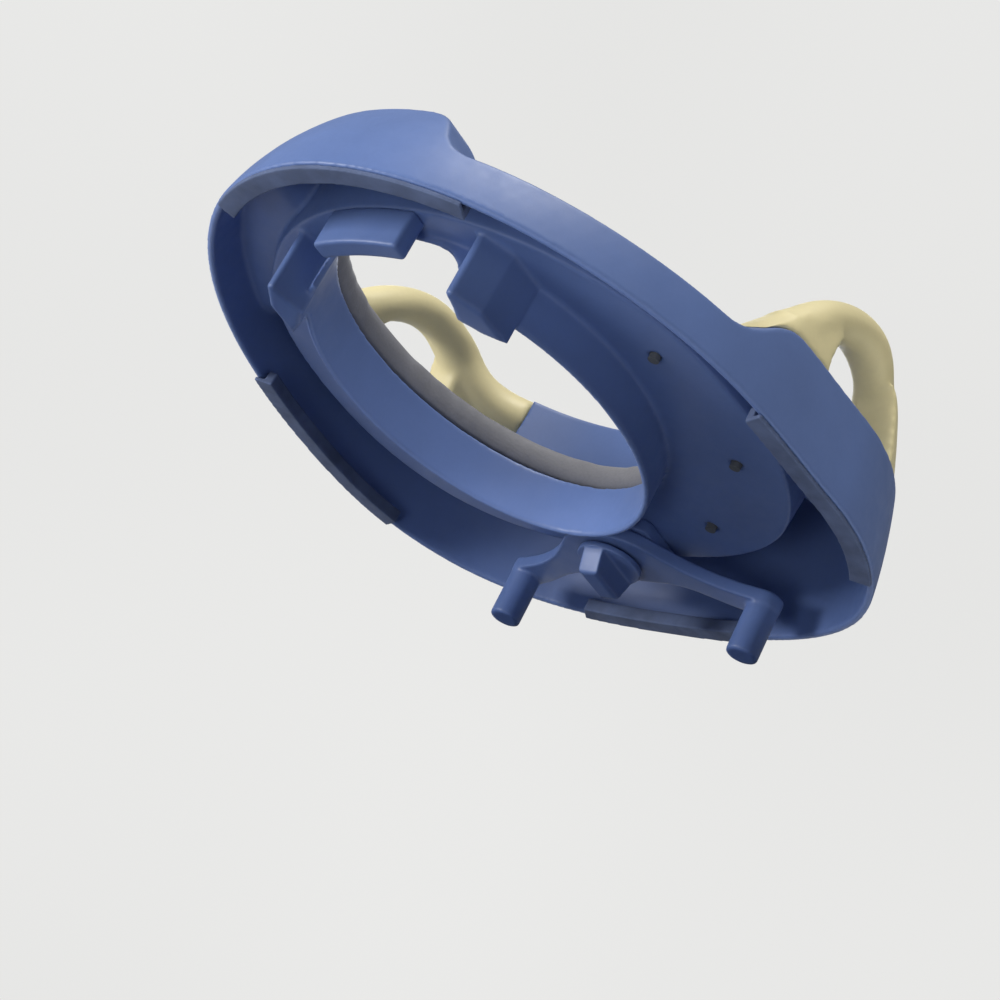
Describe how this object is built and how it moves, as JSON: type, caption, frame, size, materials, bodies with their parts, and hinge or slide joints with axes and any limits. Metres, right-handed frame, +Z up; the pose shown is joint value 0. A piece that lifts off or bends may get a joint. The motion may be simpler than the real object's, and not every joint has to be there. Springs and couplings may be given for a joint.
{
  "type": "toilet training seat insert",
  "caption": "Child's training seat that clamps on an adult toilet seat, with a soft pad, splash guard, two side grips and a sliding rear lock.",
  "frame": {"origin": "middle of the rear grip strip's foot, in the plane where the seat rests on the adult toilet seat ring", "axes": "+Z up out of the adult ring, -Y towards the splash guard and the way the sitter faces, +X to the sitter's left"},
  "size_m": [0.301, 0.336, 0.124],
  "materials": {
    "shell_blue": "satin moulded polypropylene",
    "backing_grey": "matt",
    "pad_grey": "matt soft foam with a closed skin",
    "handle_yellow": "satin moulded polypropylene",
    "screw_steel": "zinc plated",
    "strip_rubber": "matt"
  },
  "bodies": {
    "seat": {"seat_shell": "shell_blue", "pad_backing": "backing_grey", "soft_pad": "pad_grey", "handle_left": "handle_yellow", "handle_right": "handle_yellow", "handle_screws": "screw_steel", "front_stop": "shell_blue", "front_stop_screws": "screw_steel", "guide_plate": "shell_blue", "guide_screws": "screw_steel", "grip_strip_left": "strip_rubber", "grip_strip_right": "strip_rubber", "grip_strip_front": "strip_rubber", "grip_strip_rear": "strip_rubber"},
    "bracket": {"lock_bracket": "shell_blue", "knob_washer": "screw_steel", "lock_nut": "screw_steel"},
    "knob": {"lock_knob": "shell_blue", "lock_screw": "screw_steel"}
  },
  "joints": [
    {"name": "bracket_slide", "type": "slide", "parent": "seat", "child": "bracket", "axis": [0, 1, 0], "range_m": [-0.006, 0.014]},
    {"name": "knob_turn", "type": "hinge", "parent": "bracket", "child": "knob", "pos_m": [0, -0.061, 0], "axis": [0, 0, 1], "range_deg": [0, 180]}
  ]
}
